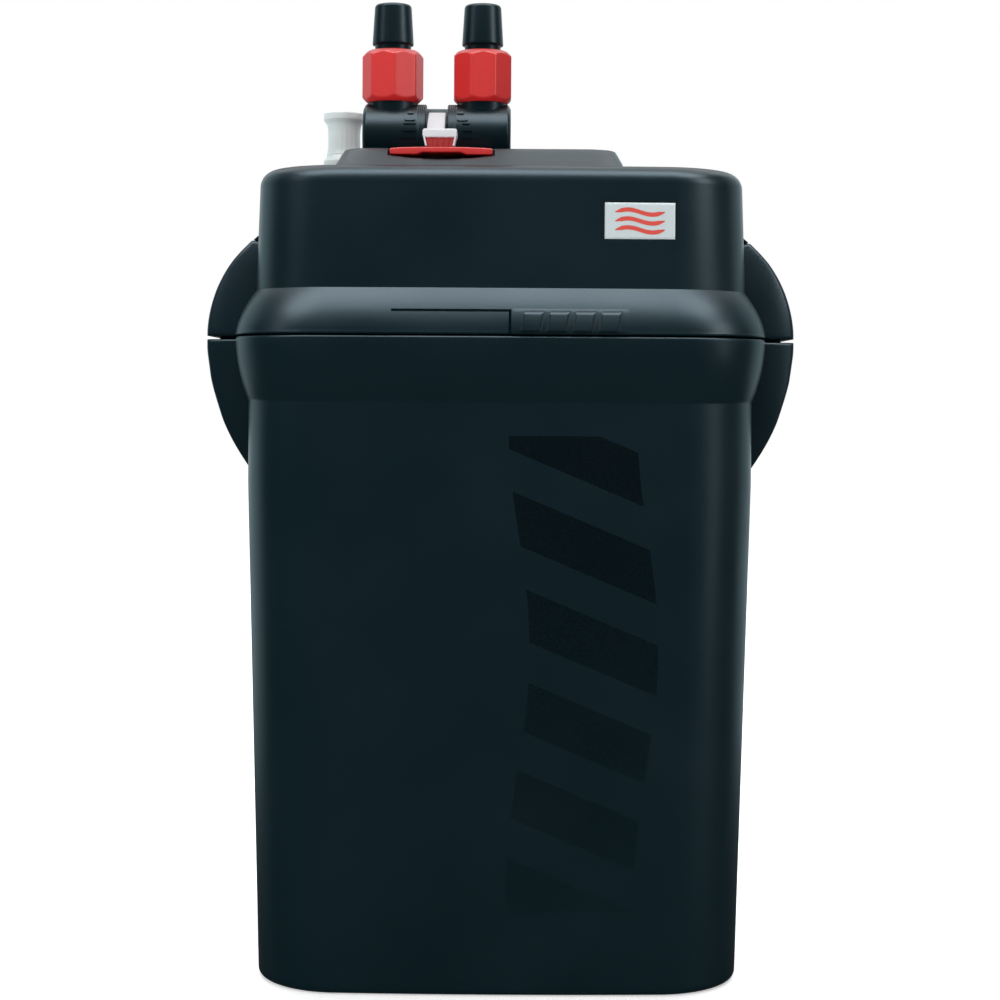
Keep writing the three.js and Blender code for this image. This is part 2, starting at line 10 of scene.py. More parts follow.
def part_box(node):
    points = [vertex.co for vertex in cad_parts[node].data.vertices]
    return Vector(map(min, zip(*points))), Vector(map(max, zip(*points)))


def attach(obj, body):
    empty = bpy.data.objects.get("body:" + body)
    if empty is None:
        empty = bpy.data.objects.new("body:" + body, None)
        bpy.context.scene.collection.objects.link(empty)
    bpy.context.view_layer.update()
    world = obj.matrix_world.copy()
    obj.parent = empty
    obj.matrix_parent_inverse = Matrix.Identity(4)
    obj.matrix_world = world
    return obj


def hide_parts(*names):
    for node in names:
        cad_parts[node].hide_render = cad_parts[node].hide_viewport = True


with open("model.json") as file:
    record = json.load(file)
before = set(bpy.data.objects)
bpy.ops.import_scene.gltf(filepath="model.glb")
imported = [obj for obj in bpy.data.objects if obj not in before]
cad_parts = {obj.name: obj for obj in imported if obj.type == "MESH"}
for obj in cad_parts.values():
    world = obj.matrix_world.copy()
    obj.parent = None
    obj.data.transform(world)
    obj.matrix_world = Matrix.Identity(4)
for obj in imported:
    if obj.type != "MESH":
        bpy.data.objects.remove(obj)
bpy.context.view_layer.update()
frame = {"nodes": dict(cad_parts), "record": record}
scene = bpy.context.scene

# ------------------------------------------------------------------ sizes, in millimetres
SEAM, WALL_TOP, WALL_BEND = 266.3, 239.5, 206.0
CROWN_Y, CROWN_X = 3.0, 1.0
XC, PORT, VY, VZ = -27.6, 19.2, -28.0, 352.2
PIVOT = (105.1, 302.1)
PRIME = (-72.0, 30.0)


def srgb(r, g, b):
    f = lambda c: c / 12.92 if c <= 0.04045 else ((c + 0.055) / 1.055) ** 2.4
    return (f(r / 255), f(g / 255), f(b / 255), 1.0)


# ------------------------------------------------------------------ materials
def plastic(name, color, rough, grain=1500.0, bump=0.25, depth=0.00006, vary=0.12, rough_vary=0.06, metallic=0.0, spec=0.5, sss=0.0, tint=(1, 1, 1), extra=None):
    m = bpy.data.materials.new(name)
    m.use_nodes = True
    nt = m.node_tree
    n, l = nt.nodes, nt.links
    bsdf = n["Principled BSDF"]
    bsdf.inputs["Metallic"].default_value = metallic
    bsdf.inputs["Specular IOR Level"].default_value = spec
    bsdf.inputs["Subsurface Weight"].default_value = sss
    bsdf.inputs["Specular Tint"].default_value = (*tint, 1)
    if sss:
        bsdf.inputs["Subsurface Radius"].default_value = (0.004, 0.002, 0.0015)
    co = n.new("ShaderNodeTexCoord")
    fine = n.new("ShaderNodeTexNoise")
    fine.inputs["Scale"].default_value = grain
    fine.inputs["Detail"].default_value = 3.0
    fine.inputs["Roughness"].default_value = 0.6
    l.new(co.outputs["Object"], fine.inputs["Vector"])
    broad = n.new("ShaderNodeTexNoise")
    broad.inputs["Scale"].default_value = 22.0
    broad.inputs["Detail"].default_value = 4.0
    l.new(co.outputs["Object"], broad.inputs["Vector"])
    ramp = n.new("ShaderNodeValToRGB")
    lo = tuple(c * (1 - vary) for c in color[:3]) + (1,)
    hi = tuple(min(1, c * (1 + vary)) for c in color[:3]) + (1,)
    ramp.color_ramp.elements[0].position, ramp.color_ramp.elements[1].position = 0.3, 0.7
    ramp.color_ramp.elements[0].color, ramp.color_ramp.elements[1].color = lo, hi
    blend = n.new("ShaderNodeMath")
    blend.operation = "MULTIPLY_ADD"
    blend.inputs[1].default_value = 0.45
    l.new(fine.outputs["Fac"], blend.inputs[0])
    half = n.new("ShaderNodeMath")
    half.operation = "MULTIPLY"
    half.inputs[1].default_value = 0.55
    l.new(broad.outputs["Fac"], half.inputs[0])
    l.new(half.outputs[0], blend.inputs[2])
    l.new(blend.outputs[0], ramp.inputs["Fac"])
    base = ramp.outputs["Color"]
    rmap = n.new("ShaderNodeMapRange")
    rmap.inputs["From Min"].default_value, rmap.inputs["From Max"].default_value = 0.3, 0.7
    rmap.inputs["To Min"].default_value, rmap.inputs["To Max"].default_value = rough - rough_vary, rough + rough_vary
    l.new(blend.outputs[0], rmap.inputs["Value"])
    roughness = rmap.outputs["Result"]
    if extra:
        base, roughness = extra(nt, co, base, roughness)
    l.new(base, bsdf.inputs["Base Color"])
    l.new(roughness, bsdf.inputs["Roughness"])
    b = n.new("ShaderNodeBump")
    b.inputs["Strength"].default_value = bump
    b.inputs["Distance"].default_value = depth
    l.new(fine.outputs["Fac"], b.inputs["Height"])
    l.new(b.outputs["Normal"], bsdf.inputs["Normal"])
    return m


def printed_waves(nt, co, base, roughness):
    """A tone-on-tone abstract print on the front of the canister: slanted bars with wavy ends that fade downwards."""
    n, l = nt.nodes, nt.links
    sep = n.new("ShaderNodeSeparateXYZ")
    l.new(co.outputs["Object"], sep.inputs[0])

    def op(kind, a, b=None, c=None):
        k = n.new("ShaderNodeMath")
        k.operation = kind
        for i, v in enumerate((a, b, c)):
            if v is None:
                continue
            if isinstance(v, (int, float)):
                k.inputs[i].default_value = v
            else:
                l.new(v, k.inputs[i])
        return k.outputs[0]

    x, y, z = sep.outputs[0], sep.outputs[1], sep.outputs[2]
    # wave: the bars' ends swing in x with height
    swing = op("MULTIPLY", op("SINE", op("MULTIPLY", z, 34.0)), 0.0045)
    u = op("ADD", x, swing)
    inside = op("MULTIPLY", op("GREATER_THAN", u, 0.008), op("LESS_THAN", u, 0.060))
    inside = op("MULTIPLY", inside, op("MULTIPLY", op("GREATER_THAN", z, 0.034), op("LESS_THAN", z, 0.226)))
    inside = op("MULTIPLY", inside, op("LESS_THAN", y, -0.07))
    slant = op("ADD", z, op("MULTIPLY", x, 0.42))
    bars = op("LESS_THAN", op("FRACT", op("MULTIPLY", slant, 27.0)), 0.56)
    fade = n.new("ShaderNodeMapRange")
    fade.inputs["From Min"].default_value, fade.inputs["From Max"].default_value = 0.03, 0.2
    fade.inputs["To Min"].default_value, fade.inputs["To Max"].default_value = 0.25, 1.0
    l.new(z, fade.inputs["Value"])
    mask = op("MULTIPLY", op("MULTIPLY", inside, bars), fade.outputs["Result"])
    mix = n.new("ShaderNodeMix")
    mix.data_type = "RGBA"
    l.new(op("MULTIPLY", mask, 0.8), mix.inputs["Factor"])
    l.new(base, mix.inputs["A"])
    mix.inputs["B"].default_value = srgb(2, 9, 12)
    return mix.outputs["Result"], op("MULTIPLY_ADD", mask, -0.09, roughness)


BLACK_RGB = srgb(2, 24, 30)
COOL = (0.7, 0.88, 1.0)
MAT = {
    "black_plastic": plastic("black_plastic", BLACK_RGB, 0.355, grain=1300, bump=0.28, spec=0.42, tint=COOL),
    # valve_plastic_painted_shade is the black plastic with a darker base colour: the extra darkness is painted shade on
    # the valve barrels, barrel marks and hose tails
    "valve_plastic_painted_shade": plastic("valve_plastic_painted_shade", srgb(0, 20, 25), 0.345, grain=1300, bump=0.28, spec=0.34, tint=COOL),
    "inner_plastic": plastic("inner_plastic", srgb(6, 16, 20), 0.6, grain=1500, spec=0.35, tint=COOL),
    "red_plastic": plastic("red_plastic", srgb(197, 35, 34), 0.36, grain=900, bump=0.12, vary=0.06, sss=0.05),
    "white_plastic": plastic("white_plastic", srgb(208, 210, 214), 0.38, grain=900, bump=0.12, vary=0.02, sss=0.08),
    "grey_plastic": plastic("grey_plastic", srgb(206, 216, 216), 0.4, grain=900, bump=0.14, vary=0.03, sss=0.08),
    "badge_foil": plastic("badge_foil", srgb(206, 218, 220), 0.34, grain=2200, bump=0.1, vary=0.05, metallic=0.35),
    "rubber": plastic("rubber", srgb(22, 23, 24), 0.82, grain=1800, bump=0.4, vary=0.2),
    "steel": plastic("steel", srgb(176, 179, 182), 0.3, grain=2500, bump=0.15, vary=0.08, metallic=1.0),
    "copper_winding": plastic("copper_winding", srgb(176, 96, 50), 0.35, grain=1400, bump=0.5, vary=0.2, metallic=0.9),
    "basket_plastic": plastic("basket_plastic", srgb(60, 68, 73), 0.5, grain=1300),
    "foam": plastic("foam", srgb(44, 49, 54), 0.95, grain=700, bump=0.9, depth=0.0006, vary=0.45),
    "ceramic": plastic("ceramic", srgb(228, 221, 208), 0.85, grain=1400, bump=0.7, depth=0.0002, vary=0.12),
    "carbon": plastic("carbon", srgb(24, 25, 27), 0.7, grain=900, bump=0.9, depth=0.0004, vary=0.4),
    "floss": plastic("floss", srgb(232, 235, 237), 0.97, grain=1100, bump=0.8, depth=0.0004, vary=0.08),
    # grip_painted_shade_and_reflection colours the white lever's ribbed grip pink-red: painted shade and a painted
    # reflection of the red latch below
    "grip_painted_shade_and_reflection": plastic("grip_painted_shade_and_reflection", srgb(182, 66, 66), 0.42, grain=900, bump=0.12, vary=0.08, sss=0.05),
    # the grey band over the lever's hub is painted shade on its top edge
    "hub_shade_grey": plastic("hub_shade_grey", srgb(104, 122, 126), 0.45, grain=1200, bump=0.2, vary=0.1),
    "magnet": plastic("magnet", srgb(46, 48, 50), 0.55, grain=1800, metallic=0.3),
    "badge_mark": plastic("badge_mark", srgb(196, 62, 50), 0.42, grain=1200, bump=0.1, vary=0.05),
}
MAT["printed_plastic"] = plastic("printed_plastic", BLACK_RGB, 0.355, grain=1300, bump=0.28, spec=0.42, tint=COOL, extra=printed_waves)


# ------------------------------------------------------------------ mesh building
def piece(name, verts, faces, material, body, replaces=(), sharp=32, keep_normals=False):
    me = bpy.data.meshes.new(name)
    me.from_pydata([tuple(float(c) * 0.001 for c in v) for v in verts], [], [tuple(int(i) for i in f) for f in faces])
    bm = bmesh.new()
    bm.from_mesh(me)
    bmesh.ops.remove_doubles(bm, verts=bm.verts, dist=1e-7)
    bmesh.ops.dissolve_degenerate(bm, dist=1e-7, edges=bm.edges)
    bmesh.ops.recalc_face_normals(bm, faces=bm.faces)
    bm.to_mesh(me)
    bm.free()
    me.validate()
    for p in me.polygons:
        p.use_smooth = True
    me.set_sharp_from_angle(angle=math.radians(sharp))
    ob = bpy.data.objects.new(name, me)
    scene.collection.objects.link(ob)
    me.materials.append(MAT[material])
    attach(ob, body)
    if replaces:
        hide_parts(*replaces)
    return ob


def skin(rings, caps=True, loop=False):
    n = len(rings[0])
    v = [tuple(p) for r in rings for p in r]
    f = []
    last = len(rings) if loop else len(rings) - 1
    for k in range(last):
        a0, c0 = k * n, ((k + 1) % len(rings)) * n
        for i in range(n):
            j = (i + 1) % n
            f.append((a0 + i, a0 + j, c0 + j, c0 + i))
    if caps and not loop:
        for base in (0, (len(rings) - 1) * n):
            m = np.mean([v[base + i] for i in range(n)], axis=0)
            v.append(tuple(m))
            for i in range(n):
                f.append((base + i, base + (i + 1) % n, len(v) - 1))
    return v, f


def merge(*parts):
    V, F = [], []
    for v, f in parts:
        o = len(V)
        V += list(v)
        F += [tuple(i + o for i in q) for q in f]
    return V, F


def revolve(profile, x, y, z=0.0, n=96, axis="Z", flute=None):
    """profile is (radius, height) round the axis; a closed loop where it doesn't touch the axis."""
    closed = profile[0][0] > 1e-6 and profile[-1][0] > 1e-6
    rings = []
    for r, h in profile:
        ring = []
        for i in range(n):
            t = 2 * math.pi * i / n
            q = r if flute is None else flute(r, h, t)
            c, s = q * math.cos(t), q * math.sin(t)
            ring.append((x + c, y + s, z + h) if axis == "Z" else (x + h, y + c, z + s) if axis == "X" else (x + c, y + h, z + s))
        rings.append(ring)
    return skin(rings, caps=not closed, loop=closed)


def rounded(points, radius, steps=5):
    """A polyline's corners turned into small arcs; the two ends stay."""
    out = [points[0]]
    for a, b, c in zip(points, points[1:], points[2:]):
        a, b, c = map(np.array, (a, b, c))
        u, w = a - b, c - b
        lu, lw = np.linalg.norm(u), np.linalg.norm(w)
        d = min(radius, lu * 0.45, lw * 0.45)
        p, q = b + u / lu * d, b + w / lw * d
        for i in range(steps + 1):
            t = i / steps
            out.append(tuple((1 - t) ** 2 * p + 2 * t * (1 - t) * b + t * t * q))
    out.append(points[-1])
    return out


def round_loop(points, radius, steps=5):
    ext = [points[-1]] + list(points) + [points[0]]
    return rounded([tuple(map(float, p)) for p in ext], radius, steps)[1:-1]


def prism(points, lo, hi, axis="Y", bevel=0.0, segs=3):
    """A polygon in (x, z) run along Y, or in (y, z) run along X, or in (x, y) run along Z, with its rims rounded."""
    bm = bmesh.new()
    put = {"Y": lambda a, b, c: (a, c, b), "X": lambda a, b, c: (c, a, b), "Z": lambda a, b, c: (a, b, c)}[axis]
    vs = [bm.verts.new(put(p[0], p[1], lo)) for p in points]
    f = bm.faces.new(vs)
    ext = bmesh.ops.extrude_face_region(bm, geom=[f])
    moved = [g for g in ext["geom"] if isinstance(g, bmesh.types.BMVert)]
    d = Vector(put(0, 0, hi - lo))
    bmesh.ops.translate(bm, verts=moved, vec=d)
    bmesh.ops.recalc_face_normals(bm, faces=bm.faces)
    if bevel:
        k = {"Y": 1, "X": 0, "Z": 2}[axis]
        rim = [e for e in bm.edges if abs(e.verts[0].co[k] - e.verts[1].co[k]) < 1e-6]
        bmesh.ops.bevel(bm, geom=rim, offset=bevel, segments=segs, profile=0.5, affect="EDGES", clamp_overlap=True)
    v = [tuple(q.co) for q in bm.verts]
    bm.verts.index_update()
    faces = [tuple(q.index for q in f.verts) for f in bm.faces]
    bm.free()
    return v, faces


def carve(ob, tools, mode="DIFFERENCE", bevel=0.0, angle=38, segs=2):
    """Booleans with temporary meshes, then a small rounding of the cut edges, all applied."""
    temps = []
    for v, f in tools:
        me = bpy.data.meshes.new("tool")
        me.from_pydata([tuple(float(c) * 0.001 for c in p) for p in v], [], f)
        bm = bmesh.new()
        bm.from_mesh(me)
        bmesh.ops.remove_doubles(bm, verts=bm.verts, dist=1e-7)
        bmesh.ops.recalc_face_normals(bm, faces=bm.faces)
        bm.to_mesh(me)
        bm.free()
        t = bpy.data.objects.new("tool", me)
        scene.collection.objects.link(t)
        temps.append(t)
        mod = ob.modifiers.new("cut", "BOOLEAN")
        mod.operation, mod.object, mod.solver = mode, t, "EXACT"
    if bevel:
        mod = ob.modifiers.new("edge", "BEVEL")
        mod.width, mod.segments, mod.limit_method = bevel * 0.001, segs, "ANGLE"
        mod.angle_limit = math.radians(angle)
        mod.use_clamp_overlap = True
    dg = bpy.context.evaluated_depsgraph_get()
    made = bpy.data.meshes.new_from_object(ob.evaluated_get(dg))
    ob.modifiers.clear()
    ob.data = made
    for t in temps:
        bpy.data.objects.remove(t)
    for p in made.polygons:
        p.use_smooth = True
    made.set_sharp_from_angle(angle=math.radians(32))
    return ob


def crown(ob):
    """The ears' broad faces fall away from the middle of the seam towards their rims."""
    bm = bmesh.new()
    bm.from_mesh(ob.data)
    for axis, lo, hi, step in ((0, -126, 126, 1.5), (2, 208, 312, 2.0)):
        for k in np.arange(lo, hi, step):
            if axis == 0 and abs(k) < 98:
                continue
            no = (1, 0, 0) if axis == 0 else (0, 0, 1)
            bmesh.ops.bisect_plane(bm, geom=bm.verts[:] + bm.edges[:] + bm.faces[:], dist=1e-7, plane_co=tuple(c * (k + 0.013) * 0.001 for c in no), plane_no=no)
    for v in bm.verts:
        x, z = v.co.x * 1000, v.co.z * 1000
        u = min(math.hypot((abs(x) - 100) / 26, (z - 266) / (46 if z > 266 else 60)), 1.0)
        v.co.y *= crown_scale(u)
    bm.to_mesh(ob.data)
    bm.free()
    for p in ob.data.polygons:
        p.use_smooth = True
    ob.data.set_sharp_from_angle(angle=math.radians(32))


def crown_scale(u):
    return 1 - 0.25 * (1 - math.sqrt(1 - (0.93 * u) ** 2))


def cube(x0, x1, y0, y1, z0, z1):
    v = [(x, y, z) for x in (x0, x1) for y in (y0, y1) for z in (z0, z1)]
    return v, [(0, 1, 3, 2), (4, 6, 7, 5), (0, 4, 5, 1), (2, 3, 7, 6), (0, 2, 6, 4), (1, 5, 7, 3)]


def q(s, x0, x1):
    return (x0, x1) if s > 0 else (-x1, -x0)


# ------------------------------------------------------------------ plan outline with fixed stations
def stations(lo, hi, step, edges=(), soft=0.18):
    s = set(np.round(np.arange(lo, hi + 1e-6, step), 4))
    for e in edges:
        for d in (-3 * soft, -soft, soft, 3 * soft):
            s.add(round(e + d, 4))
    return sorted(v for v in s if lo <= v <= hi)


def perimeter(a, b, r, z, xs, ys, cy=CROWN_Y, cx=CROWN_X, nc=16):
    """[(side, station, x, y, z)] anticlockwise from the front left."""
    out = []

    def y_of(x):
        e = abs(x) - (a - r)
        return b if e <= 0 else b - r + math.sqrt(max(r * r - e * e, 0))

    def add(side, s, x, y):
        out.append((side, s, x * (1 - (cx / a) * (y / b) ** 2), y * (1 - (cy / b) * (x / a) ** 2), z))

    comp = 1 / (1 - cx / a)
    X1, Y1 = xs[-1] * comp, ys[-1]
    e = min(max(X1 - (a - r), 0) / r, 0.999)
    t0 = math.acos(e)  # where the corner arc starts, from the side
    arc = [t0 * (1 - (i + 1) / (nc + 1)) for i in range(nc + 1)]

    def corner(sx, sy, back):
        pts = [(a - r + r * math.cos(t), b - r + r * math.sin(t)) for t in arc]
        pts = pts[::-1] if back else pts
        for x, y in pts:
            add("C", 0, sx * x, sy * y)

    for x in xs:
        add("F", x, x * comp, -y_of(x * comp))
    corner(1, -1, False)
    for y in ys:
        add("R", y, a, y)
    corner(1, 1, True)
    for x in reversed(xs):
        add("B", x, x * comp, y_of(x * comp))
    corner(-1, 1, False)
    for y in reversed(ys):
        add("L", y, -a, y)
    corner(-1, -1, True)
    return out


def heights(*spans, edges=(), soft=0.15):
    s = set()
    for lo, hi, step in spans:
        s |= set(np.round(np.linspace(lo, hi, max(2, int(round((hi - lo) / step)) + 1)), 4))
    for e in edges:
        s |= {round(e + d, 4) for d in (-3 * soft, -soft, soft, 3 * soft)}
    return sorted(s)


def mixv(a, b, t):
    return a + (b - a) * t


# ------------------------------------------------------------------ canister
def can_size(z):
    t = min(z / WALL_BEND, 1)
    a, b, r = mixv(100, 105.6, t), mixv(82.5, 84, t), mixv(33, 34, t)
    if z > WALL_TOP:
        k = 1 - ((SEAM - z) / 27) ** 2
        k0 = 1 - ((SEAM - WALL_TOP) / 27) ** 2
        k = (k - k0) / (1 - k0)
        a, b, r = a + 5.2 * k, b + 6 * k, r + 4 * k
    return a, b, r


cxs = stations(-72, 72, 4)
cys = stations(-44, 44, 4, edges=(-23.5, 23.5, -41.2, 41.2))


def can_ring(a, b, r, z, cut=True):
    ring = []
    for side, s, x, y, zz in perimeter(a, b, r, z, cxs, cys):
        if cut and side in "RL" and abs(s) < 23.5 and 250 < z < 257.5:
            x = math.copysign(min(abs(x), 105.5), x)
        ring.append((x, y, zz))
    return ring


rings = []
for i in range(13):
    t = math.radians(90 * i / 12)
    inset, z = 3 * (1 - math.sin(t)), 3 * (1 - math.cos(t))
    a, b, r = can_size(z)
    rings.append(can_ring(a - inset, b - inset, r - inset, z))
for z in heights((6, 236, 6), (236, WALL_TOP - 0.2, 1.2), (WALL_TOP, 265.0, 0.9), edges=(250, 257.5)):
    rings.append(can_ring(*can_size(z), z))
for i in range(1, 7):
    t = math.radians(90 * i / 6)
    a, b, r = can_size(265.0)
    i2 = 0.9 * (1 - math.cos(t))
    rings.append(can_ring(a - i2, b - i2, r - i2, 265.0 + 1.0 * math.sin(t)))
for z, a, b, r in ((266.0, 102.1, 80.6, 30.6), (265.4, 101.5, 80, 30), (240, 101.3, 79.8, 30), (206, 101.3, 79.8, 30), (10, 96.2, 78.5, 27), (5.6, 93, 75.5, 24), (5, 90, 72, 22)):
    rings.append(can_ring(a, b, r, z, False))
V, F = skin(rings)
piece("canister_shell", V, F, "printed_plastic", "filter", ["canister"])

GUARD = [(125, 265.4), (125, 261), (124.4, 256.7), (123.2, 248.3), (122.1, 244.1), (120.8, 239.8), (118.1, 231.4), (116.2, 227.1), (114.1, 222.9), (111.7, 218.7), (109, 214.4), (106.2, 210.2)]
GUARD_IN = [(111.6, 272), (121.9, 272), (121.9, 265), (121.4, 257), (120.2, 249), (117.8, 240.6), (117, 238), (106.4, 238), (106.4, 240), (109.3, 250), (111.2, 259)]
for s, side in ((-1, "left"), (1, "right")):
    m = lambda pts: [(s * x, z) for x, z in pts]
    inner = [(104.2, 209), (104.2, 240), (105.4, 246), (107.6, 252), (109.2, 258), (109.8, 265.5)]
    outer = rounded(GUARD, 4, 6)
    V, F = prism(m(inner + outer), -40, 40, "Y", bevel=2.2, segs=5)
    ob = piece("catch_guard_" + side, V, F, "black_plastic", "filter")
    carve(
        ob,
        [prism(m(GUARD_IN), -37, 37, "Y"), cube(*q(s, 112, 130), -23.5, 23.5, 238, 275), cube(*q(s, 100, 112.5), -23.5, 23.5, 250, 257.5)],
        bevel=0.45,
    )
    crown(ob)

# ------------------------------------------------------------------ head cover
hxs = stations(-72, 72, 3, edges=(41.4, 70.6, -43.7, 3.8, 51.8))
hys = stations(-44, 44, 4, edges=(-41, 41))


def head_size(z):
    if z < 285.5:
        k = 1 - ((max(z, SEAM) - SEAM) / 19.2) ** 1.7
        return 102.8 + 8 * k, 82 + 8 * k, 34 + 4 * k
    t = (z - 285.5) / 43.1
    return mixv(102.8, 101.4, t), mixv(82, 81.4, t), 34


def head_ring(a, b, r, z, cut=True):
    ring = []
    for side, s, x, y, zz in perimeter(a, b, r, z, hxs, hys):
        if cut:
            if side in "RL" and abs(s) < 41 and z < 308.2:
                x = math.copysign(min(abs(x), 98.8), x)
            if side == "F":
                if 41.4 < s < 70.6 and 305.25 < z < 320.75:
                    y += 1.1
                if -43.7 < s < 3.8 and z < 276.6:
                    fade = (s + 43.7) / 47.5
                    y += 0.85 if z > 275.8 else 0.15 + 0.4 * fade
                if abs(s - 3.8) < 0.5 and z < 276.6:
                    y += 0.8
        ring.append((x, y, zz))
    return ring


rings = []
for i in range(6):
    t = math.radians(90 * i / 5)
    i2 = 0.8 * (1 - math.sin(t))
    a, b, r = head_size(266.6)
    rings.append(head_ring(a - i2, b - i2, r - i2, 266.6 + 0.8 * (1 - math.cos(t))))
for z in heights((267.6, 285.2, 0.8), (285.5, 287, 0.7), (287, 328.5, 3), edges=(276.6, 275.8, 305.25, 320.75, 308.2)):
    rings.append(head_ring(*head_size(z), z))
for i in range(13):
    t = math.radians(90 * i / 12)
    i2 = 7 * (1 - math.cos(t))
    rings.append(head_ring(101.4 - i2, 81.4 - i2, 34 - i2, 328.6 + 7 * math.sin(t), False))
V, F = skin(rings, caps=False)
n = len(rings[0])
# inside of the cover and the lip underneath
inner = [head_ring(95.6, 77.6, 26.6, 266.6, False), head_ring(95, 77, 26, 267.2, False), head_ring(95, 77, 26, 331, False)]
Vi, Fi = skin(inner, caps=False)
o = len(V)
V = V + Vi
F = F + [tuple(i + o for i in f) for f in Fi]
F += [(i, (i + 1) % n, o + (i + 1) % n, o + i) for i in range(n)]
top0 = (len(rings) - 1) * n
V.append((0, 0, 335.6))
F += [(top0 + i, top0 + (i + 1) % n, len(V) - 1) for i in range(n)]
in0 = o + 2 * n
V.append((0, 0, 331))
F += [(in0 + i, in0 + (i + 1) % n, len(V) - 1) for i in range(n)]
piece("head_shell", V, F, "black_plastic", "filter", ["head_cover"])

# hinge lugs of the clamps
for s, side in ((-1, "left"), (1, "right")):
    for k, y0 in enumerate((-31, 25)):
        lug = [(98.2, 302.1), (98.2, 290.5), (105.1, 298.7)] + [
            (PIVOT[0] + 3.4 * math.cos(math.radians(d)), PIVOT[1] + 3.4 * math.sin(math.radians(d))) for d in range(-60, 181, 12)
        ]
        V, F = prism([(s * x, z) for x, z in lug], y0, y0 + 6, "Y", bevel=0.4)
        piece(f"clamp_lug_{side}_{k + 1}", V, F, "black_plastic", "filter")


for s, side in ((-1, "left"), (1, "right")):
    brow = [(98.5, 307.85), (105.2, 307.85), (105.2, 308.0)] + [(105.2 - 4.2 * t, 308.0 + 3.6 * t ** 1.05) for t in (0.15, 0.3, 0.45, 0.6, 0.75, 0.9, 1.0)] + [(98.5, 311.6)]
    V, F = prism([(s * x, z) for x, z in brow], -35, 35, "Y", bevel=0.1)
    piece("clamp_brow_" + side, V, F, "black_plastic", "filter")


# raised deck as one height field, with the valve seat, the latch seat and the finger scoop
def deck_height(x, y):
    px, py = x + 9, y + 29
    prev_t, prev_d = None, None
    t = -0.3
    for k in range(53):
        t = -0.3 + k * 0.025
        a, b, r = 60 - 3.6 * t, 45 - 12 * t, 14 - 3 * t
        qx, qy = abs(px) - (a - r), abs(py) - (b - r)
        d = math.hypot(max(qx, 0), max(qy, 0)) + min(max(qx, qy), 0) - r
        if d > 0:
            if prev_t is None:
                return 333.9
            f = prev_d / (prev_d - d)
            t = mixv(prev_t, t, f)
            break
        prev_t, prev_d = t, d
    w = 0.12
    u = 1 - t
    soft = 0.5 * (u + math.sqrt(u * u + w * w)) - 0.5 * w * 0.6
    return 335.5 + 8.6 * (1 - max(soft, 0)) if t < 1.2 else 344.1


def deck_z(x, y):
    z = min(max(deck_height(x, y), 333.9), 344.1)
    if abs(x - XC) < 33 and -46 < y < -11:
        z = min(z, 335.2)
    if -46.8 < x < -2.8 and y < -50:
        z = min(z, 340.6)
        if y < -56:
            z = min(z, 459.5 - math.sqrt(120.9**2 - (x + 24.8) ** 2))
    if -33.2 < x < -16.6 and -51 < y < -45:
        z = min(z, 340.6)
    return z


gx = stations(-71.5, 53.5, 1.25, edges=(XC - 33, XC + 33, -46.8, -2.8, -33.2, -16.6), soft=0.1)
gy = stations(-77, 18.5, 1.25, edges=(-46, -11, -50, -56), soft=0.1)
V = [(x, y, max(deck_z(x, y), 333.9)) for y in gy for x in gx]
nx, ny = len(gx), len(gy)
F = [(j * nx + i, j * nx + i + 1, (j + 1) * nx + i + 1, (j + 1) * nx + i) for j in range(ny - 1) for i in range(nx - 1)]
o = len(V)
V += [(x, y, 332.6) for y in gy for x in gx]
F += [(o + j * nx + i, o + (j + 1) * nx + i, o + (j + 1) * nx + i + 1, o + j * nx + i + 1) for j in range(ny - 1) for i in range(nx - 1)]
rim = [i for i in range(nx)] + [j * nx + nx - 1 for j in range(1, ny)] + [(ny - 1) * nx + i for i in range(nx - 2, -1, -1)] + [j * nx for j in range(ny - 2, 0, -1)]
F += [(rim[i], rim[(i + 1) % len(rim)], o + rim[(i + 1) % len(rim)], o + rim[i]) for i in range(len(rim))]
piece("valve_deck", V, F, "black_plastic", "filter", sharp=40)

V, F = revolve(rounded([(4.1, 333.5), (4.1, 343.9), (10.2, 343.9), (10.2, 333.5)], 0.7), *PRIME)
piece("primer_collar", V, F, "black_plastic", "filter")


# small raised shapes on the rolled skirt: plain slanted bars, each on a slightly larger, darker rim that is painted
# shade round its foot
def skirt_y(x, z):
    a, b, r = head_size(z)
    return -b * (1 - (CROWN_Y / b) * (x / a) ** 2)


def relief(name, x0, x1, z0, z1, lean, rise, material, surface, n=14, m=12, body="filter"):
    top, low = [], []
    for j in range(m + 1):
        for i in range(n + 1):
            u, w = i / n, j / m
            z = mixv(z0, z1, w)
            x = mixv(x0, x1, u) + lean * w
            ys = surface(x, z)
            edge = min(u, 1 - u) * n, min(w, 1 - w) * m
            e = min(1.0, min(edge) / 1.0)
            top.append((x, ys - rise * (0.55 + 0.45 * e), z))
            low.append((x, ys + 0.5, z))
    k = n + 1
    V = top + low
    o = len(top)
    F = []
    for j in range(m):
        for i in range(n):
            a = j * k + i
            F += [(a, a + 1, a + 1 + k, a + k), (o + a, o + a + k, o + a + 1 + k, o + a + 1)]
    edge = [i for i in range(k)] + [j * k + n for j in range(1, m + 1)] + [m * k + i for i in range(n - 1, -1, -1)] + [j * k for j in range(m - 1, 0, -1)]
    F += [(edge[i], edge[(i + 1) % len(edge)], o + edge[(i + 1) % len(edge)], o + edge[i]) for i in range(len(edge))]
    return piece(name, V, F, material, body)


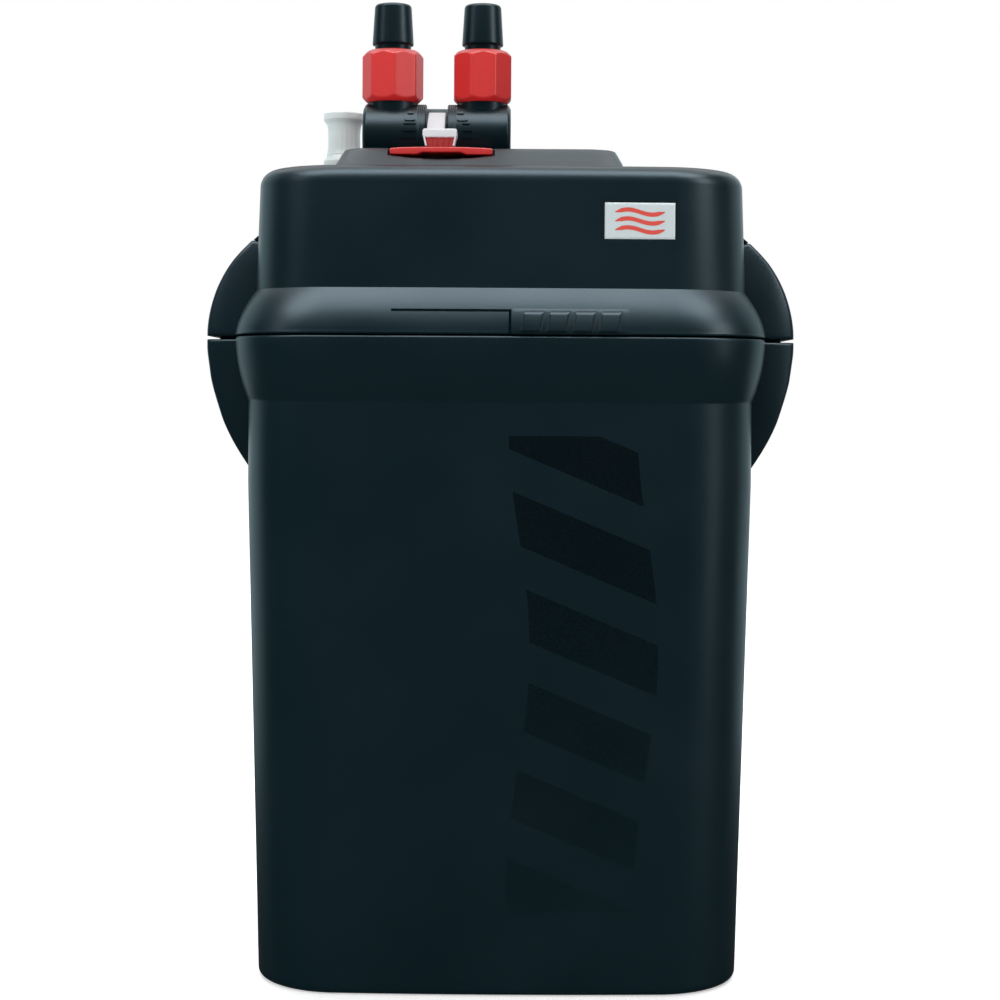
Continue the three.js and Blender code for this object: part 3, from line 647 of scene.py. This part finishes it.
relief("skirt_plaque", 4.6, 51.4, 267.2, 277.0, 0, 0.3, "black_plastic", skirt_y, n=40)
for k, x in enumerate((8.0, 18.4, 28.8, 39.2)):
    # the darker rim under each bar is painted shade
    relief(f"skirt_bar_edge_{k + 1}", x - 0.5, x + 8.3, 267.3, 276.3, 1.6, 0.5, "inner_plastic", skirt_y)
    relief(f"skirt_bar_{k + 1}", x, x + 7.8, 267.7, 275.8, 1.4, 1.15, "black_plastic", skirt_y)


# badge
def badge_y(x, z):
    a, b, r = head_size(z)
    return -b * (1 - (CROWN_Y / b) * (x / a) ** 2) + 1.0


relief("badge", 41.75, 70.25, 305.6, 320.4, 0, 0.75, "badge_foil", badge_y, n=40, m=24)
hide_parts("badge_plate")
for k in range(3):
    V, F = [], []
    pts = 48
    for i in range(pts + 1):
        u = i / pts
        x = 46.0 + 20.0 * u
        zc = 309.3 + 3.6 * k + 1.0 * math.sin(2 * math.pi * u)
        half = 0.85 * min(1, 6 * u + 0.25, 6 * (1 - u) + 0.25)
        for dy, dz in ((-0.92, -half), (-0.92, half), (-0.5, half), (-0.5, -half)):
            V.append((x, badge_y(x, zc) + dy, zc + dz))
    for i in range(pts):
        for e in range(4):
            F.append((i * 4 + e, i * 4 + (e + 1) % 4, (i + 1) * 4 + (e + 1) % 4, (i + 1) * 4 + e))
    F += [(0, 1, 2, 3), tuple(pts * 4 + e for e in (3, 2, 1, 0))]
    piece(f"badge_wave_{k + 1}", V, F, "badge_mark", "filter")

V, F = merge(
    revolve(rounded([(3.6, 74), (3.6, 84.5), (6.4, 84.5), (9.2, 83.4), (9.2, 81.7), (6.9, 81.6), (6.9, 74)], 0.5), 60, 0, 300, axis="Y")
)
piece("lead_gland", V, F, "rubber", "filter", ["cord_gland"])

# ------------------------------------------------------------------ clamps
ARC = [(125, 266.8), (125, 269.4), (124.6, 273.7), (123.8, 277.9), (122.7, 282.1), (121.2, 286.4), (119.3, 290.6), (117, 294.8), (114.1, 299.1)]
ARC_IN = [(121.9, 255), (121.9, 270), (121.6, 273.3), (120.9, 277.2), (119.8, 281.2), (118.4, 285.1), (116.7, 289.1), (114.5, 293.1), (111.8, 297.1)]


def around(r, lo, hi, step):
    return [(PIVOT[0] + r * math.cos(math.radians(d)), PIVOT[1] + r * math.sin(math.radians(d))) for d in np.arange(lo, hi + 0.1, step)]


for s, side in ((-1, "left"), (1, "right")):
    m = lambda pts: [(s * x, z) for x, z in pts]
    body = "clamp_" + side
    shell = [(99.2, 267.3), (111, 266.8)] + rounded(ARC + [(110.3, 303.4), (107.5, 306.2)], 4, 5) + around(5.5, 78, 180, 8) + [(99.2, 297.5)]
    V, F = prism(m(shell), -40, 40, "Y", bevel=2.2, segs=5)
    ob = piece("clamp_shell_" + side, V, F, "black_plastic", body, ["clamp_" + side])
    hollow = [(90, 255)] + ARC_IN + around(4.2, -20, 100, 12) + [(104, 315), (90, 315)]
    carve(ob, [prism(m(hollow), -37, 37, "Y")])
    carve(ob, [prism(m([(112, 250.5), (115.5, 250.5), (115.5, 263.5), (121.4, 263.5), (121.4, 267.2), (122.6, 267.2), (122.6, 271), (112, 271), (112, 256.7), (107, 256.7), (107, 253), (108.5, 251.5), (112, 251.5)]), -22, 22, "Y")], "UNION", bevel=0.4)
    crown(ob)
    V, F = revolve(rounded([(0, -33.6), (1.8, -33.6), (1.8, 33.6), (0, 33.6)], 0.3), s * PIVOT[0], 0, PIVOT[1], n=32, axis="Y")
    piece("hinge_pin_" + side, V, F, "steel", "filter", ["clamp_pin_" + side])

# ------------------------------------------------------------------ hose valve
def barrel(x_out, x_in):
    d = 1 if x_in > x_out else -1
    prof = [(0, x_out), (12.6, x_out), (13.2, x_out + d * 0.5), (13.6, x_out + d * 0.5), (14.5, x_out + d * 1.4), (14.5, x_in - d * 4.6), *[(14.5 if k % 2 else 14.22, x_in - d * (4.6 - 0.4 * k)) for k in range(1, 9)], (14.5, x_in - d * 1.0), (14.0, x_in - d * 0.4), (12.4, x_in - d * 0.4), (12.4, x_in), (0, x_in)]
    return revolve(rounded(prof, 0.3, 3), 0, VY, VZ, axis="X")


# the valve housing takes the darker valve plastic, whose colour is painted shade
V, F = barrel(XC - 31.4, XC - 4.1)
ob = piece("valve_housing", V, F, "valve_plastic_painted_shade", "filter", ["valve_body"])
stubs = [revolve(rounded([(0, 356), (10.2, 356), (10.2, 384), (0, 384)], 0.5), XC + s * PORT, VY) for s in (-1, 1)]
base = prism(round_loop([(XC - 31, -43.5), (XC + 31, -43.5), (XC + 31, -12.5), (XC - 31, -12.5)], 2), 336.6, 346, "Z", bevel=0.5)
carve(ob, [barrel(XC + 31.4, XC + 4.1), base, *stubs], "UNION")
cuts = [cube(XC - 4.1, XC + 4.1, -50, -5, 338.6, 370), cube(-33.4, -16.4, -46, -40, 340.8, 344.2)]
cuts += [revolve([(0, 340), (5.5, 340), (5.5, 390), (0, 390)], XC + s * PORT, VY, n=48) for s in (-1, 1)]
cuts += [revolve([(0, XC + a), (10, XC + a), (10, XC + b), (0, XC + b)], 0, VY, VZ, n=64, axis="X") for a, b in ((-33, -7.4), (7.4, 33))]
cuts += [revolve([(0, XC - 10), (3.5, XC - 10), (3.5, XC + 10), (0, XC + 10)], 0, VY, VZ, n=32, axis="X")]
carve(ob, cuts, bevel=0.25)


# marks moulded on the barrels
def mark(name, x0, x1, deg, half_deg, rise=0.55):
    V, F = [], []
    nx, na = 8, 6
    for lift in (rise, -0.4):
        for i in range(nx + 1):
            u = i / nx
            pinch = 1 - (abs(2 * u - 1)) ** 6 * 0.6
            for k in range(na + 1):
                t = math.radians(deg + half_deg * pinch * (2 * k / na - 1))
                V.append((mixv(x0, x1, u), VY - (14.5 + lift) * math.cos(t), VZ + (14.5 + lift) * math.sin(t)))
    o, w = (nx + 1) * (na + 1), na + 1
    for i in range(nx):
        for k in range(na):
            a = i * w + k
            F += [(a, a + 1, a + 1 + w, a + w), (o + a, o + a + w, o + a + 1 + w, o + a + 1)]
    rim = [k for k in range(w)] + [i * w + na for i in range(1, nx + 1)] + [nx * w + k for k in range(na - 1, -1, -1)] + [i * w for i in range(nx - 1, 0, -1)]
    F += [(rim[i], rim[(i + 1) % len(rim)], o + rim[(i + 1) % len(rim)], o + rim[i]) for i in range(len(rim))]
    piece(name, V, F, "valve_plastic_painted_shade", "filter")


# grey band over the lever's hub: painted shade along the hub's top edge
V, F = prism(round_loop([(-23.4, 363.6), (-20.2, 363.4), (-20.2, 365.3), (-23.4, 365.6)], 0.4), XC - 4.6, XC + 4.6, "X")
piece("valve_strap", V, F, "hub_shade_grey", "filter")

for side, rows in (
    ("left", [(-39.9, -37.3, 40, 2.6), (-41.2, -36.6, 26, 2.6), (-41.6, -36.4, 18.5, 1.15), (-41.8, -36.6, 6.3, 1.15), (-42.9, -36.6, -5.5, 1.15)]),
    ("right", [(-19.0, -16.0, 40, 2.6), (-19.0, -14.4, 26, 2.6), (-16.8, -13.6, 18.5, 1.15), (-16.8, -12.6, 6.3, 1.15), (-16.8, -12.0, -5.5, 1.15)]),
):
    for k, (x0, x1, deg, half) in enumerate(rows):
        mark(f"barrel_mark_{side}_{k + 1}", x0, x1, deg, half)

for s, side in ((-1, "left"), (1, "right")):
    x = XC + s * PORT
    # end cap, hose tail and its seal
    e0, e1 = (XC + s * 29.0), (XC + s * 31.4)
    V, F = revolve(rounded([(0, e0), (9.7, e0), (9.7, e1 - s * 0.2), (8.2, e1), (7.6, e1 - s * 0.6), (0, e1 - s * 0.6)], 0.3), 0, VY, VZ, axis="X")
    piece("barrel_cap_" + side, V, F, "inner_plastic", "filter", ["valve_cap_" + side])
    prof = [(5.5, 385.3), (9.8, 385.3), (9.8, 387), (7.7, 387.1), (7.7, 391.8), (8.8, 391.9), (8.8, 392.8), (7.85, 408.2), (7.2, 409.1), (5.5, 409.1), (5.5, 385.3)]
    V, F = revolve(rounded(prof, 0.45)[:-1], x, VY)
    piece("tail_" + side + "_moulding", V, F, "valve_plastic_painted_shade", "tail_" + side, ["hose_tail_" + side])
    V, F = revolve(round_loop([(6, 384.3), (9.5, 384.3), (9.5, 385), (6, 385)], 0.25), x, VY)
    piece("seal_ring_" + side, V, F, "rubber", "tail_" + side, ["tail_seal_" + side])

    # octagonal lock nut with chamfered, scalloped ends
    turn = math.radians(5 if s < 0 else 24.6)
    apothem = 13.2 * math.cos(math.pi / 8)

    def nut_r(h, t, turn=turn):
        p = 12.0
        acc = sum(max(math.cos(t - turn - math.pi / 8 - k * math.pi / 4), 0.0) ** (p * 6) for k in range(8)) ** (1 / (p * 6))
        flat = apothem / acc
        top = 13.15 - max(0.0, (h - 386.6)) * 0.95
        low = 13.15 - max(0.0, (369.4 - h)) * 0.95
        return min(flat, top, low)

    hs = [367.0 + 22.2 * i / 54 for i in range(55)]
    rings = []
    for r0 in (10.6,):
        rings.append([(x + 10.6 * math.cos(2 * math.pi * i / 192), VY + 10.6 * math.sin(2 * math.pi * i / 192), 367.0) for i in range(192)])
    for h in hs:
        shrink = 0.35 * (1 - math.sin(math.acos(max(0, 1 - min(h - 367.0, 389.2 - h, 0.5) / 0.5))))
        rings.append([(x + (nut_r(h, 2 * math.pi * i / 192) - shrink) * math.cos(2 * math.pi * i / 192), VY + (nut_r(h, 2 * math.pi * i / 192) - shrink) * math.sin(2 * math.pi * i / 192), h) for i in range(192)])
    for r0, h in ((8.4, 389.2), (8.1, 388.9), (8.1, 387.3), (10.6, 387.3)):
        rings.append([(x + r0 * math.cos(2 * math.pi * i / 192), VY + r0 * math.sin(2 * math.pi * i / 192), h) for i in range(192)])
    V, F = skin(rings, loop=True)
    piece("nut_" + side + "_moulding", V, F, "red_plastic", "nut_" + side, ["lock_nut_" + side], sharp=40)

# flow lever
hub = revolve(rounded([(0, XC - 3.75), (11, XC - 3.75), (11, XC + 3.75), (0, XC + 3.75)], 0.5), 0, VY, VZ, axis="X")
V, F = hub
ob = piece("flow_lever_moulding", V, F, "white_plastic", "flow_control", ["flow_lever"])
arm = prism(rounded([(-28, 342), (-40, 345.2), (-58, 345.2), (-60, 346.4), (-63.4, 350.2), (-63.4, 351.2), (-52, 351.9), (-44, 357), (-36, 361), (-28, 363.1)], 1.2), XC - 3.75, XC + 3.75, "X", bevel=0.4)
pad = prism(round_loop([(-32.6, 348.3), (-18.4, 348.3), (-18.4, 351.9), (-32.6, 351.9)], 1.1), -64, -51.5, "Y", bevel=0.6)
cheeks = [prism(round_loop([(-25.5 + k * 6.9, 349), (-25.5 + k * 6.2, 349), (-25.5 + k * 5.3, 344.8), (-25.5 + k * 6.0, 344.8)], 0.15), -63.9, -54, "Y") for k in (-1, 1)]
spindle = revolve([(0, XC - 7.3), (3.1, XC - 7.3), (3.1, XC + 7.3), (0, XC + 7.3)], 0, VY, VZ, n=48, axis="X")
carve(ob, [arm, pad, spindle, *cheeks], "UNION")
# ribbed grip under the pad, narrower towards the bottom; its pink-red colour is painted shade and a painted reflection
# of the red latch on the white lever
V, F, nu, nw = [], [], 60, 8
for w in range(nw + 1):
    z = mixv(348.6, 344.6, w / nw)
    half = mixv(6.3, 5.4, w / nw)
    for u in range(nu + 1):
        t = 2 * u / nu - 1
        V.append((-25.5 + half * t, -63.4 + 1.3 * abs(math.sin(2.5 * math.pi * (t + 1) / 2 * 2)) + 0.25 * w / nw, z))
    V.append((-25.5 + half, -52, z))
    V.append((-25.5 - half, -52, z))
k = nu + 3
for w in range(nw):
    for i in range(k):
        F.append((w * k + i, w * k + (i + 1) % k, (w + 1) * k + (i + 1) % k, (w + 1) * k + i))
F += [tuple(range(k)), tuple(nw * k + i for i in reversed(range(k)))]
piece("flow_lever_grip", V, F, "grip_painted_shade_and_reflection", "flow_control")

# release latch with an arched top and a notch below
arch = [(-46, 341), (-34.8, 341), (-33, 341.9), (-16.6, 341.9), (-14.8, 341), (-3.7, 341), (-3.7, 343.5), (-8, 343.8), (-14, 344.0), (-24.8, 344.15), (-36, 344.0), (-41.7, 343.8), (-46, 343.5)]
V, F = prism(round_loop(arch, 0.7, 4), -66, -51, "Y", bevel=0.5)
ob = piece("release_latch_moulding", V, F, "red_plastic", "release", ["release_latch"])
carve(ob, [cube(-32.6, -17.2, -52, -42, 341.9, 343.6)], "UNION", bevel=0.15)

# primer: fluted spool, rod
def flutes(r, h, t):
    if 351.5 < h < 366:
        fade = min(1, (h - 351.5) / 2, (366 - h) / 2)
        return r - 0.14 * fade * (0.5 + 0.5 * math.cos(20 * t)) ** 2
    return r


prof = [(3.9, 344.3), (9.3, 344.3), (9.4, 348.6), (8.3, 349.9), (7.75, 351.2)] + [(7.3 + 0.9 * ((h - 358.5) / 7.6) ** 4, h) for h in np.linspace(351.6, 365.6, 26)] + [(8.4, 366.2), (9.4, 367.4), (9.4, 370.0), (9.0, 370.4), (0, 370.4)]
prof = rounded([tuple(map(float, p)) for p in [(0, 364.8), (3.9, 364.8)] + prof], 0.25, 3)
V, F = revolve(prof, *PRIME, n=160, flute=flutes)
piece("primer_spool", V, F, "grey_plastic", "primer", ["primer_knob"])
V, F = revolve(rounded([(0, 288), (3.5, 288), (3.5, 364.5), (0, 364.5)], 0.3), *PRIME, n=48)
piece("primer_stem", V, F, "grey_plastic", "primer", ["primer_rod"])


# ------------------------------------------------------------------ soft filter pads
def pad_piece(name, node, material, lump):
    lo, hi = [np.array(v) * 1000 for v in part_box(node)]
    c, h = (lo + hi) / 2, (hi - lo) / 2
    V, F, n = [], [], 26
    index = {}
    for ax in range(3):
        for sgn in (-1, 1):
            o = len(V)
            for i in range(n + 1):
                for j in range(n + 1):
                    p = np.zeros(3)
                    p[ax], p[(ax + 1) % 3], p[(ax + 2) % 3] = sgn, 2 * i / n - 1, 2 * j / n - 1
                    w = p * h
                    r = 3.0
                    core = np.clip(w, -(h - r), h - r)
                    d = w - core
                    L = np.linalg.norm(d)
                    w = core + d / L * r if L > 0 else w
                    k = 0.35 * (math.sin(w[0] * 1.3 + w[1] * 0.7) * math.sin(w[1] * 1.1 - w[2] * 0.9) * math.sin(w[2] * 0.8 + w[0] * 0.5))
                    w = w * (1 - (lump + k * lump) / h.max())
                    V.append(tuple(c + w))
            for i in range(n):
                for j in range(n):
                    a = o + i * (n + 1) + j
                    F.append((a, a + 1, a + n + 2, a + n + 1))
    ob = piece(name, V, F, material, "filter", [node], sharp=80)
    bm = bmesh.new()
    bm.from_mesh(ob.data)
    bmesh.ops.remove_doubles(bm, verts=bm.verts, dist=2e-5)
    bmesh.ops.recalc_face_normals(bm, faces=bm.faces)
    bm.to_mesh(ob.data)
    bm.free()


pad_piece("coarse_foam_lower", "foam_pad_lower", "foam", 0.3)
pad_piece("coarse_foam_upper", "foam_pad_upper", "foam", 0.3)
pad_piece("fine_floss_pad", "fine_filter_pad", "floss", 0.5)

# ------------------------------------------------------------------ CAD pieces that keep their shape
slots = {sp["node"]: sp["material_slot"] for sp in frame["record"]["subparts"]}
for name, ob in frame["nodes"].items():
    if ob.hide_render:
        continue
    ob.data.materials.clear()
    ob.data.materials.append(MAT[slots[name]])
    b = ob.modifiers.new("edges", "BEVEL")
    b.width, b.segments, b.limit_method, b.angle_limit = 0.00025, 2, "ANGLE", math.radians(40)

# ------------------------------------------------------------------ studio
fm = bpy.data.materials.new("studio_floor")
fm.use_nodes = True
fn = fm.node_tree.nodes
fn["Principled BSDF"].inputs["Base Color"].default_value = (0.82, 0.82, 0.82, 1)
fn["Principled BSDF"].inputs["Roughness"].default_value = 0.9
fn["Principled BSDF"].inputs["Emission Color"].default_value = (1, 1, 1, 1)
fn["Principled BSDF"].inputs["Emission Strength"].default_value = 0.42
bm = bmesh.new()
bmesh.ops.create_grid(bm, x_segments=8, y_segments=8, size=6)
me = bpy.data.meshes.new("studio_floor")
bm.to_mesh(me)
bm.free()
floor = bpy.data.objects.new("studio_floor", me)
me.materials.append(fm)
scene.collection.objects.link(floor)
floor.location.z = -0.0002
floor.visible_glossy = False


def softbox(name, pos, aim, size, power):
    d = bpy.data.lights.new(name, "AREA")
    d.shape, d.size, d.size_y, d.energy = "RECTANGLE", size[0], size[1], power
    o = bpy.data.objects.new(name, d)
    scene.collection.objects.link(o)
    o.location = pos
    o.rotation_euler = (Vector(aim) - Vector(pos)).to_track_quat("-Z", "Y").to_euler()


def sun(name, azimuth, elevation, strength):
    d = bpy.data.lights.new(name, "SUN")
    d.energy, d.angle = strength, math.radians(70)
    o = bpy.data.objects.new(name, d)
    scene.collection.objects.link(o)
    a, e = math.radians(azimuth), math.radians(elevation)
    o.rotation_euler = (-Vector((math.sin(a) * math.cos(e), -math.cos(a) * math.cos(e), math.sin(e)))).to_track_quat("-Z", "Y").to_euler()
    o.visible_glossy = False


softbox("key_above", (0.0, 0.55, 1.5), (0, 0.05, 0.3), (2.2, 1.2), 16)
softbox("key_front", (0.0, -0.5, 1.5), (0, -0.05, 0.3), (2.6, 0.75), 52)
bpy.data.objects["key_front"].visible_diffuse = False
softbox("panel_back", (0.0, 1.9, 0.75), (0, 0, 0.3), (2.6, 1.4), 6)
softbox("panel_left", (-1.45, 1.25, 0.6), (0, 0, 0.28), (1.7, 1.8), 7.5)
softbox("panel_right", (1.3, 1.4, 0.6), (0, 0, 0.28), (1.8, 1.8), 7)
softbox("ear_left", (-1.5, -0.75, 0.95), (-0.11, -0.04, 0.28), (0.5, 0.6), 2.2)
softbox("ear_right", (1.5, -0.75, 0.95), (0.11, -0.04, 0.28), (0.6, 0.7), 8.5)
softbox("ear_low", (1.5, -0.75, 0.12), (0.11, -0.04, 0.24), (0.4, 0.3), 0.8)
for n_ in ("panel_left", "panel_right"):
    bpy.data.objects[n_].data.color = (0.66, 0.93, 1.0)
for n_ in ("ear_left", "ear_right", "ear_low"):
    bpy.data.objects[n_].visible_diffuse = False
sun("front_sun", -12, 34, 1.7)
sun("back_sun", 165, 40, 1.5)
world = bpy.data.worlds.new("studio")
scene.world = world
world.use_nodes = True
wn, wl = world.node_tree.nodes, world.node_tree.links
lp = wn.new("ShaderNodeLightPath")


def backdrop(strength):
    k = wn.new("ShaderNodeBackground")
    k.inputs["Color"].default_value = (1, 1, 1, 1)
    k.inputs["Strength"].default_value = strength
    return k.outputs["Background"]


def pick(fac, a, b):
    k = wn.new("ShaderNodeMixShader")
    wl.new(fac, k.inputs["Fac"])
    wl.new(a, k.inputs[1])
    wl.new(b, k.inputs[2])
    return k.outputs["Shader"]


out = pick(lp.outputs["Is Glossy Ray"], backdrop(0.35), backdrop(0.03))
out = pick(lp.outputs["Is Camera Ray"], out, backdrop(1.0))
wl.new(out, wn["World Output"].inputs["Surface"])
scene.view_settings.view_transform = "Standard"

SHIFT = -0.095
cam = bpy.data.cameras.new("camera")
cam.lens, cam.sensor_width = 73.15, 36.0
cam.shift_y = SHIFT
co = bpy.data.objects.new("camera", cam)
scene.collection.objects.link(co)
tilt = math.atan((0.1235 + SHIFT) * 1000 / 2032) - 0.0091
co.location = (0.0, -0.9, 0.2424)
co.rotation_euler = (Matrix.Rotation(math.pi / 2 - tilt, 4, "X") @ Matrix.Rotation(math.radians(0.37), 4, "Z")).to_euler()
scene.camera = co

bpy.context.view_layer.update()
